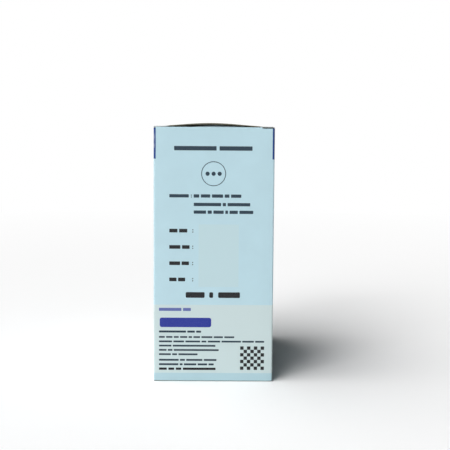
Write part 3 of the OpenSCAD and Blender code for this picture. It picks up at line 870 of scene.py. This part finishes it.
class PrintSheet:
    """Flat marks on one face of the carton.

    u runs to the reader's right and v up, both in millimetres."""

    def __init__(self, name, right, out, origin):
        self.name, self.meshes = name, {}
        self.pose = Matrix(
            (Vector(right), Vector(out).cross(Vector(right)), Vector(out))).transposed().to_4x4()
        self.pose.translation = origin

    def mesh(self, ink):
        """The mesh of all the marks in one ink."""
        return self.meshes.setdefault(ink, bmesh.new())

    def bar(self, ink, u0, u1, v, high, radius=0.3):
        """A bar with round corners, from u0 to u1, standing on v."""
        bm = self.mesh(ink)
        before = set(bm.verts)
        bmesh.ops.create_grid(bm, x_segments=1, y_segments=1, size=0.5)
        made = [p for p in bm.verts if p not in before]
        bmesh.ops.scale(bm, verts=made, vec=((u1 - u0) * MM, high * MM, 1))
        bmesh.ops.translate(bm, verts=made, vec=((u0 + u1) / 2 * MM, (v + high / 2) * MM, 0))
        round_off(bm, made, min(radius * MM, high * MM * 0.48), 3, "VERTICES")

    def words(self, ink, u, v, high, *widths, gap=1.1):
        """A line of words as bars, from u on, each so many millimetres wide."""
        for wide in widths:
            self.bar(ink, u, u + wide, v, high)
            u += wide + gap

    def colon(self, ink, u, v, high):
        """Two small dots over each other."""
        dot = 0.7
        for foot in (v, v + high - dot):
            self.bar(ink, u, u + dot, foot, dot, 0.2)

    def disc(self, ink, u, v, radius, segments=40):
        """A plain disc."""
        bm = self.mesh(ink)
        made = bmesh.ops.create_circle(
            bm, cap_ends=True, segments=segments, radius=radius * MM)["verts"]
        bmesh.ops.translate(bm, verts=made, vec=(u * MM, v * MM, 0))

    def ring(self, ink, u, v, radius, line):
        """A plain ring of this line width."""
        bm = bmesh.new()
        bmesh.ops.create_circle(bm, cap_ends=True, segments=48, radius=radius * MM)
        disc = bm.faces[:]
        bmesh.ops.inset_region(
            bm, faces=disc, thickness=line * MM, use_even_offset=True, use_boundary=True)
        bmesh.ops.delete(bm, geom=disc, context="FACES")
        bmesh.ops.translate(bm, verts=bm.verts, vec=(u * MM, v * MM, 0))
        pour(self.mesh(ink), bm)

    def finish(self, body, bend):
        """Turns each ink's marks into one piece that rides on the body and bends with its board."""
        depth, inks = bpy.context.scene.print_sizes.ink, all_inks()
        for ink, bm in self.meshes.items():
            for axis in (0, 1):
                places = [point.co[axis] for point in bm.verts]
                cut_strips(bm, axis, min(places), max(places), MARK_STRIP)
            # White is printed first, so that the other inks lie on it
            thick = depth * (WHITE_INK if ink == "white" else 1)
            lift(bm, bmesh.ops.extrude_face_region(bm, geom=bm.faces[:]), thick)
            bmesh.ops.translate(bm, verts=bm.verts, vec=(0, 0, -depth * SUNK_INK))
            bmesh.ops.recalc_face_normals(bm, faces=bm.faces[:])
            bmesh.ops.transform(bm, matrix=self.pose, verts=bm.verts)
            bend(bm.verts)
            piece = finish_piece(
                f"{self.name}_{ink}", bm, [inks[ink]], smooth=False)
            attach(piece, body)


class CARTON_OT_front_print(Operator):
    """Prints the narrow front face with plain bars and shapes."""

    bl_idname = "exerciser.front_print"
    bl_label = "Print the front"

    def execute(self, context):
        half_d = context.scene.carton.half_d
        sheet = PrintSheet("front_print", (1, 0, 0), (0, -1, 0), (0, -half_d, 0))
        self.head(sheet)
        self.window_labels(sheet)
        self.maker_block(sheet)
        sheet.finish("carton", swell_walls)
        return {"FINISHED"}

    def head(self, sheet):
        """Title, neutral pictogram of three balls, and note."""
        sheet.words("text", -27.1, 159.3, 2.9, 28.7)
        sheet.words("text", 3.6, 159.3, 2.9, 22.3)
        sheet.ring("text", -0.3, 143.6, 8.4, 0.5)
        for u in (-4.4, -0.3, 3.8):
            sheet.disc("text", u, 143.6, 1.4)
        sheet.words("text", -30.3, 127.4, 2.2, 13.2)
        sheet.colon("text", -15.7, 127.4, 2)
        sheet.words("text", -13.8, 127.4, 2.2, 3.8, 6.4, 7.6, 3.2, 7)
        sheet.words("text", -13.7, 121.6, 2.2, 18.6, 2.2, 15.4)
        sheet.words("text", -13.7, 116.4, 2.2, 8.4, 2.8, 7, 1.8, 5.6, 9.4)

    def window_labels(self, sheet):
        """Four labels beside the field for overprinting, and the heavy line under it."""
        for foot, *widths in (
                (103.5, 5.6, 5.6), (92.3, 7.6, 5.2), (81.1, 7.4, 5), (69.9, 5, 4.8)):
            sheet.words("bold", -30.3, foot, 2.5, *widths)
            sheet.colon("bold", -14.6, foot, 2.2)
        for left, right in ((-19, -6), (-2.8, -0.2), (3.3, 18.2)):
            sheet.bar("bold", left, right, 58.5, 3.9, 0.8)

    def maker_block(self, sheet):
        """Plain bars and a plain grid on the pale panel."""
        sheet.words("violet", -37.3, 49.3, 2.1, 15.4, 5.4)
        sheet.bar("blue", -36.8, -1.4, 38, 6.6, 1.4)
        for foot, high, *widths in (
                (34.2, 1.4, 18.6, 5.2, 3.4),
                (30.5, 1.2, 4, 4.4, 3.4, 5, 2.4, 4.6, 7.6, 6.4, 6.8),
                (27.4, 1.2, 9, 7.4, 10.2, 3.4, 8.6, 13.4, 8, 6.2),
                (24.4, 1.2, 8.6, 29.4),
                (21.4, 1.2, 5.2, 3.2, 31),
                (18.4, 1.2, 8.2, 3.4, 13.2),
                (14.4, 1.3, 13.6, 3.4, 11.2, 8.8),
                (11.3, 1.3, 13.4, 2, 8.6, 6.6, 3.6)):
            sheet.words("text", -37.3, foot, high, *widths, gap=0.9)
        sheet.words("bold", -37.3, 8, 1.6, 5.4, 4, 3.8, 22.6)
        cells, cell = 7, 2.36
        for column in range(cells):
            for row in range(column % 2, cells, 2):
                left = 18.7 + column * cell
                sheet.bar("bold", left, left + cell, 8.2 + row * cell, cell, 0.12)


class CARTON_OT_back_print(Operator):
    """Prints the narrow back face with plain dots and bars."""

    bl_idname = "exerciser.back_print"
    bl_label = "Print the back"

    def execute(self, context):
        half_d = context.scene.carton.half_d
        sheet = PrintSheet("back_print", (-1, 0, 0), (0, 1, 0), (0, half_d, 0))
        sheet.words("text", -24, 159.3, 2.9, 20, 25.6, gap=2.2)
        for step in range(5):
            foot = 138 - step * 17
            sheet.disc("blue", -31, foot + 1, 2.6)
            sheet.words("text", -25.6, foot + 2.2, 1.8, 11, 6.4, 13, 8.4, 9.2)
            sheet.words("text", -25.6, foot - 1.4, 1.8, 7.6, 14.2, 5, 12.6)
            sheet.words("text", -25.6, foot - 5, 1.8, 12.4, 3.6, 9)
        for line in range(9):
            last = 11 - line % 3 * 2.4
            sheet.words("text", -35, 46.6 - line * 4.1, 1.3, 9, 13, 6, 16, 4.6, last, gap=0.9)
        sheet.finish("carton", swell_walls)
        return {"FINISHED"}


class CARTON_OT_wide_print(Operator):
    """Prints both wide faces: a title on the band and a plain drawing of three chambers."""

    bl_idname = "exerciser.wide_print"
    bl_label = "Print the wide faces"

    def execute(self, context):
        half_w = context.scene.carton.half_w
        for name, side in (("hinge", -1), ("tuck", 1)):
            sheet = PrintSheet(f"{name}_print", (0, side, 0), (side, 0, 0), (side * half_w, 0, 0))
            sheet.words("white", -58, 160.6, 5.4, 58, 50, gap=4)
            self.drawing(sheet)
            sheet.bar("blue", -58, -18, 38, 8, 1.8)
            for line, widths in enumerate(((26, 12, 20), (18, 30, 8), (24, 9, 16), (12, 22, 18))):
                sheet.words("text", -58, 31 - line * 5.4, 1.9, *widths, gap=1.4)
            for line, widths in enumerate(((16, 20), (22, 12), (14, 9, 10), (19, 15))):
                sheet.disc("blue", 16.4, 42.2 - line * 7.6, 1.3)
                sheet.words("text", 20.6, 41.1 - line * 7.6, 2.2, *widths, gap=1.6)
            sheet.finish("carton", swell_walls)
        return {"FINISHED"}

    def drawing(self, sheet):
        """Three plain chambers with a ball in each, between two bars."""
        sheet.bar("white", -58, 58, 64, 80, 6)
        sheet.bar("blue", -46, 46, 71, 7, 2)
        sheet.bar("blue", -42, 42, 131, 5, 2)
        for u, flow, rise in ((-27, "low", 30), (0, "mid", 18), (27, "high", 6)):
            for side in (-11.4, 10.6):
                sheet.bar("blue", u + side, u + side + 0.8, 79, 51, 0.3)
            sheet.disc(flow, u, 79 + rise + 10, 9.4, 48)


class CARTON_OT_lid_print(Operator):
    """Prints the lid with two lines of plain bars."""

    bl_idname = "exerciser.lid_print"
    bl_label = "Print the lid"

    def execute(self, context):
        sizes = context.scene.carton
        sheet = PrintSheet(
            "lid_print", (0, 1, 0), (0, 0, 1), (0, 0, sizes.side_top + sizes.lid_fold))
        sheet.words("white", -44, 2, 5.4, 46, 38, gap=4)
        sheet.words("white", -33, -9, 2.6, 22, 14, 26)
        sheet.finish("lid", bow_print)
        return {"FINISHED"}


# Exerciser -------------------------------


def slab(low, high, radius):
    """A block between two corners, whose upright edges have this radius."""
    bm = bmesh.new()
    bmesh.ops.create_cube(bm, size=1)
    bmesh.ops.scale(bm, verts=bm.verts, vec=high - low)
    bmesh.ops.translate(bm, verts=bm.verts, vec=(low + high) / 2)
    upright = [e for e in bm.edges if abs(e.verts[0].co.z - e.verts[1].co.z) > TOUCH]
    round_off(bm, upright, radius, 12)
    return bm


def flat_face(bm, up):
    """The largest face that looks up, or down where up is -1."""
    return max((f for f in bm.faces if f.normal.z * up > 0.99), key=lambda f: f.calc_area())


def hollow_below(bm, wall, depth):
    """Presses the underside in, inside a rim as wide as the wall."""
    under = flat_face(bm, -1)
    bmesh.ops.inset_region(bm, faces=[under], thickness=wall, use_even_offset=True)
    lift(bm, bmesh.ops.extrude_face_region(bm, geom=[under]), depth)
    bmesh.ops.delete(bm, geom=[under], context="FACES_ONLY")


def add_tube(bm, start, end, radius, ease):
    """Adds a closed round bar along X with eased ends."""
    made = bmesh.ops.create_cone(
        bm, cap_ends=True, segments=64, radius1=radius, radius2=radius, depth=abs(end.x - start.x),
        matrix=Matrix.Translation((start + end) / 2) @ Matrix.Rotation(math.pi / 2, 4, "Y"))["verts"]
    rims = {
        e for p in made for e in p.link_edges if len({round(q.co.x, 6) for q in e.verts}) == 1}
    round_off(bm, list(rims), ease, 3)


def eased_copy(
        node_names, name, material, ease, body="exerciser", sharp=CRISP, glue=0.0):
    """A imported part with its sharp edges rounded, its two ends set back by the glue.

    Two parts that are welded together become one; the faces where they meet are left out."""
    bm = bmesh.new()
    for node_name in node_names:
        bm.from_mesh(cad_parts[node_name].data)
    if len(node_names) > 1:
        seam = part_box(node_names[0])[1].x
        met = [f for f in bm.faces if all(abs(p.co.x - seam) < TOUCH for p in f.verts)]
        bmesh.ops.delete(bm, geom=met, context="FACES_ONLY")
    bmesh.ops.remove_doubles(bm, verts=bm.verts[:], dist=2 * TOUCH)
    bmesh.ops.dissolve_limit(
        bm, angle_limit=math.radians(0.5), verts=bm.verts[:], edges=bm.edges[:])
    foot, head = min(p.co.z for p in bm.verts), max(p.co.z for p in bm.verts)
    for point in bm.verts:
        point.co.z = min(max(point.co.z, foot + glue), head - glue)
    edges = [e for e in bm.edges if e.is_manifold and e.calc_face_angle(0) > math.radians(sharp)]
    round_off(bm, edges, ease, 2, clamp_overlap=True)
    piece = finish_piece(name, bm, [material])
    # Wide flat faces keep their own normals next to the rounded edges
    for face in piece.data.polygons:
        if abs(face.normal.z) > 0.9999 or face.area > WIDE_FACE:
            face.use_smooth = False
    keep_crisp(piece, sharp)
    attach(piece, body)
    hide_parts(*node_names)


def finish_moulding(name, bm, node_name):
    """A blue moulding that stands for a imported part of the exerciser."""
    blue = shared("blue_moulding", moulded, bpy.context.scene.plastics.shell)
    piece = finish_piece(name, bm, [blue])
    keep_crisp(piece)
    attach(piece, "exerciser")
    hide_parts(node_name)


class DEVICE_OT_base(Operator):
    """Moulds the base with its plinth and boss, and eases the plate and the hose port in it."""

    bl_idname = "exerciser.base"
    bl_label = "Make the base"

    def execute(self, context):
        sizes = context.scene.device
        inside = 0.05 * MM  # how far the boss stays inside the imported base
        bm = slab(
            BASE_LOW, Vector((*BASE_HIGH.xy, BASE_LOW.z + sizes.plinth_h)), sizes.base_r)
        hollow_below(bm, sizes.wall, sizes.cover_z)
        round_off(bm, flat_face(bm, 1).edges[:], sizes.step_fillet, 3)
        step = Vector((sizes.plinth_w, sizes.plinth_w, 0))
        body = slab(
            BASE_LOW + step + Vector((0, 0, sizes.cover_z)), BASE_HIGH - step,
            sizes.base_r - sizes.plinth_w)
        round_off(body, flat_face(body, 1).edges[:], sizes.base_fillet, 6)
        port = Vector((0, (ELBOW_LOW.y + ELBOW_HIGH.y) / 2, ELBOW_LOW.z + sizes.boss_r))
        add_tube(
            body, port + Vector((BASE_LOW.x - inside, 0, 0)),
            port + Vector((BASE_LOW.x + sizes.boss_l, 0, 0)), sizes.boss_r - inside, 0.4 * MM)
        pour(bm, body)
        finish_moulding("base", bm, "base_shell")
        white = shared("white_moulding", moulded, context.scene.plastics.white)
        eased_copy(["base_cover"], "foot_plate", white, sizes.ease)
        eased_copy(["outlet_elbow"], "hose_elbow", white, sizes.ease)
        return {"FINISHED"}


class DEVICE_OT_cap(Operator):
    """Moulds the cap over the chambers."""

    bl_idname = "exerciser.cap"
    bl_label = "Make the cap"

    def execute(self, context):
        sizes = context.scene.device
        bm = slab(CAP_LOW, CAP_HIGH, sizes.base_r)
        hollow_below(bm, sizes.wall, sizes.cap_skirt)
        round_off(bm, flat_face(bm, 1).edges[:], sizes.cap_fillet, 6)
        finish_moulding("cap", bm, "top_cap")
        return {"FINISHED"}


class DEVICE_OT_chambers(Operator):
    """Eases the clear shells, the tube and the two plates that hold them."""

    bl_idname = "exerciser.chambers"
    bl_label = "Make the chambers"

    def execute(self, context):
        scene = context.scene
        sizes = scene.device
        clear = shared("clear_moulding", clear_plastic, scene.plastics.clear)
        white = shared("white_moulding", moulded, scene.plastics.white)
        for name, node_names in (
                ("chambers", ("chamber_front_shell", "chamber_back_shell")),
                ("tube", ("down_tube",))):
            eased_copy(
                node_names, name, clear, sizes.clear_ease, glue=sizes.glue)
        for name, node_name in (("seats", "seat_plate"), ("stops", "stop_plate")):
            eased_copy([node_name], name, white, sizes.ease)
        return {"FINISHED"}


class DEVICE_OT_balls(Operator):
    """Moulds the three balls, each with the line of its mould round it."""

    bl_idname = "exerciser.balls"
    bl_label = "Make the balls"

    def execute(self, context):
        scene = context.scene
        lean = Matrix.Rotation(math.radians(62), 3, "X")
        for flow, slot in (("low", "ball_blue"), ("mid", "ball_green"), ("high", "ball_orange")):
            low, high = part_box(f"ball_{flow}_flow")
            radius = (high.z - low.z) / 2
            bm = bmesh.new()
            bmesh.ops.create_uvsphere(bm, u_segments=72, v_segments=48, radius=radius)
            line = [p for p in bm.verts if abs(p.co.z) < TOUCH]
            inner = 1 - scene.device.seam / radius
            bmesh.ops.scale(bm, verts=line, vec=(inner, inner, 1))
            bmesh.ops.rotate(bm, verts=bm.verts, matrix=lean)
            bmesh.ops.translate(bm, verts=bm.verts, vec=(low + high) / 2)
            colour = getattr(scene.plastics, flow)
            paint = shared(f"{flow}_ball_paint", moulded, colour, 0.22, 0.4)
            ball = finish_piece(f"{flow}_flow_ball", bm, [paint])
            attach(ball, f"{flow}_ball")
            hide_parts(f"ball_{flow}_flow")
        return {"FINISHED"}


class DEVICE_OT_mouthpiece(Operator):
    """Eases the loose mouthpiece."""

    bl_idname = "exerciser.mouthpiece"
    bl_label = "Make the mouthpiece"

    def execute(self, context):
        scene = context.scene
        white = shared("mouth_moulding", moulded, scene.plastics.mouth, 0.22)
        eased_copy(
            ["mouthpiece"], "bite_piece", white, scene.device.ease,
            "loose_mouthpiece", 50)
        return {"FINISHED"}


class DEVICE_OT_numbers(Operator):
    """Raises the flow number of each chamber on the cap's front."""

    bl_idname = "exerciser.numbers"
    bl_label = "Make the numbers"

    def execute(self, context):
        sizes = context.scene.device
        paint = shared("number_paint", moulded, context.scene.plastics.white, 0.35)
        middle_z = (CAP_LOW.z + CAP_HIGH.z - sizes.cap_fillet) / 2
        pose = Matrix(((0, -1, 0), (0, 0, 1), (-1, 0, 0))).transposed().to_4x4()
        for flow, figures in (("low", "600"), ("mid", "900"), ("high", "1200")):
            low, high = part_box(f"ball_{flow}_flow")
            pose.translation = (CAP_LOW.x, (low.y + high.y) / 2, middle_z)
            bm = self.cast(context, figures, sizes.digits * 1.35, sizes.relief)
            bmesh.ops.transform(bm, matrix=pose, verts=bm.verts)
            piece = finish_piece(f"{flow}_number", bm, [paint], smooth=False)
            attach(piece, "exerciser")
        return {"FINISHED"}

    def cast(self, context, figures, size, relief):
        """The figures as a mesh round the origin, in X and Y."""
        words = bpy.data.curves.new("figures", "FONT")
        words.body, words.size, words.extrude = figures, size, relief
        words.align_x, words.align_y = "CENTER", "CENTER"
        shape = bpy.data.objects.new("figures", words)
        context.scene.collection.objects.link(shape)
        drawn = bpy.data.meshes.new_from_object(
            shape.evaluated_get(context.evaluated_depsgraph_get()))
        bm = bmesh.new()
        bm.from_mesh(drawn)
        bpy.data.objects.remove(shape)
        bpy.data.curves.remove(words)
        bpy.data.meshes.remove(drawn)
        return bm


# Stage -----------------------------------


def seen_rays(tree):
    """1 for a ray from the camera or out of gloss or clear plastic, 0 for light on the object."""
    path = tree.nodes.new("ShaderNodeLightPath")
    seen = math_node(tree, "MAXIMUM", path.outputs["Is Camera Ray"], path.outputs["Is Glossy Ray"])
    return math_node(tree, "MAXIMUM", seen, path.outputs["Is Transmission Ray"])


class STAGE_OT_stage(Operator):
    """Sets the floor, the lights and the camera."""

    bl_idname = "exerciser.stage"
    bl_label = "Set the stage"

    def execute(self, context):
        look, scene = context.scene.stage_look, context.scene
        scene.view_settings.view_transform = "Standard"
        self.floor(scene, look)
        self.sky(scene, look)
        for name in ("key", "fill", "back"):
            lamp = bpy.data.lights.new(name, "SUN")
            lamp.energy, lamp.angle = getattr(look, name), getattr(look, f"{name}_angle")
            light = bpy.data.objects.new(name, lamp)
            source = Vector(getattr(look, f"{name}_from"))
            light.rotation_euler = source.to_track_quat("Z", "Y").to_euler()
            scene.collection.objects.link(light)
        self.camera(scene, look)
        return {"FINISHED"}

    def floor(self, scene, look):
        """A plain disc with a matt paint."""
        bm = bmesh.new()
        bmesh.ops.create_circle(bm, cap_ends=True, segments=64, radius=FLOOR_R)
        mesh = bpy.data.meshes.new("floor")
        bm.to_mesh(mesh)
        bm.free()
        mesh.materials.append(self.floor_paint(look))
        floor = bpy.data.objects.new("floor", mesh)
        scene.collection.objects.link(floor)

    def floor_paint(self, look):
        """Matt paint that turns into the plain background far from the object."""
        material, tree, surface, where = new_material(
            "floor_paint", look.floor, 0.9, Specular_IOR_Level=0.0)
        gloss(tree, surface, clouds(tree, where, 400, 3, 0.86, 0.94))
        seen = seen_rays(tree)
        bright = [c * look.gain for c in look.floor]
        tint(tree, surface, mix(tree, seen, look.floor, bright))
        reach = node(tree, "ShaderNodeVectorMath", operation="LENGTH")
        tree.links.new(where, reach.inputs[0])
        away = both(tree, seen, ramp(tree, reach.outputs["Value"], look.near, look.far))
        plain = node(tree, "ShaderNodeEmission", Color=(1, 1, 1, 1), Strength=1.0)
        blend = tree.nodes.new("ShaderNodeMixShader")
        for socket, value in zip(
                blend.inputs, (away, surface.outputs["BSDF"], plain.outputs["Emission"])):
            tree.links.new(value, socket)
        out = tree.nodes["Material Output"].inputs["Surface"]
        tree.links.new(blend.outputs["Shader"], out)
        return material

    def sky(self, scene, look):
        """Even light on the object, and a white background for the camera and in gloss."""
        scene.world = scene.world or bpy.data.worlds.new("studio")
        scene.world.use_nodes = True
        tree = scene.world.node_tree
        tree.nodes.clear()
        light = node(tree, "ShaderNodeBackground", Color=(1, 1, 1, 1))
        tree.links.new(ramp(tree, seen_rays(tree), 0, 1, look.sky, 1), light.inputs["Strength"])
        out = tree.nodes.new("ShaderNodeOutputWorld")
        tree.links.new(light.outputs["Background"], out.inputs["Surface"])

    def camera(self, scene, look):
        """The camera, square to the narrow face but for a small turn, tilt and lean."""
        lens = bpy.data.cameras.new("camera")
        lens.lens, lens.sensor_width = look.lens, 36
        lens.clip_start, lens.clip_end = 0.01, 50
        ahead = Vector((
            math.sin(look.yaw) * math.cos(look.pitch), math.cos(look.yaw) * math.cos(look.pitch),
            -math.sin(look.pitch)))
        level = Vector((math.cos(look.yaw), -math.sin(look.yaw), 0))
        right = level * math.cos(look.roll) + level.cross(ahead) * math.sin(look.roll)
        pose = Matrix((right, right.cross(ahead), -ahead)).transposed().to_4x4()
        pose.translation = (look.camera_x, FACE_LOW.y - look.camera_back, look.camera_z)
        camera = bpy.data.objects.new("camera", lens)
        camera.matrix_world = pose
        scene.collection.objects.link(camera)
        scene.camera = camera


class EXERCISER_PT_panel(Panel):
    """Lists the steps and their sizes in the sidebar."""

    bl_idname = "EXERCISER_PT_panel"
    bl_label = "Boxed exerciser"
    bl_space_type = "VIEW_3D"
    bl_region_type = "UI"
    bl_category = "Exerciser"

    def draw(self, context):
        for step in STEPS:
            self.layout.operator(step.bl_idname)
        for name in GROUPS:
            group = getattr(context.scene, name)
            box = self.layout.box()
            for field in group.bl_rna.properties:
                if field.identifier not in ("name", "rna_type"):
                    box.prop(group, field.identifier)


GROUPS = {
    "carton": CartonSizes,
    "print_sizes": PrintSizes,
    "board_colours": BoardColours,
    "plastics": PlasticColours,
    "device": DeviceSizes,
    "stage_look": StageLook,
}

STEPS = (
    CARTON_OT_sleeve,
    CARTON_OT_dust_flaps,
    CARTON_OT_lid,
    CARTON_OT_tuck,
    CARTON_OT_bottom,
    CARTON_OT_front_print,
    CARTON_OT_back_print,
    CARTON_OT_wide_print,
    CARTON_OT_lid_print,
    DEVICE_OT_base,
    DEVICE_OT_cap,
    DEVICE_OT_chambers,
    DEVICE_OT_balls,
    DEVICE_OT_mouthpiece,
    DEVICE_OT_numbers,
    STAGE_OT_stage,
)


def register():
    for group in (*GROUPS.values(), *STEPS, EXERCISER_PT_panel):
        bpy.utils.register_class(group)
    for name, group in GROUPS.items():
        setattr(bpy.types.Scene, name, PointerProperty(type=group))


def unregister():
    for name in GROUPS:
        delattr(bpy.types.Scene, name)
    for group in (EXERCISER_PT_panel, *reversed(STEPS), *reversed(GROUPS.values())):
        bpy.utils.unregister_class(group)


def main():
    """Makes every piece in order."""
    register()
    for step in STEPS:
        family, name = step.bl_idname.split(".")
        getattr(getattr(bpy.ops, family), name)()


if __name__ == "__main__":
    main()
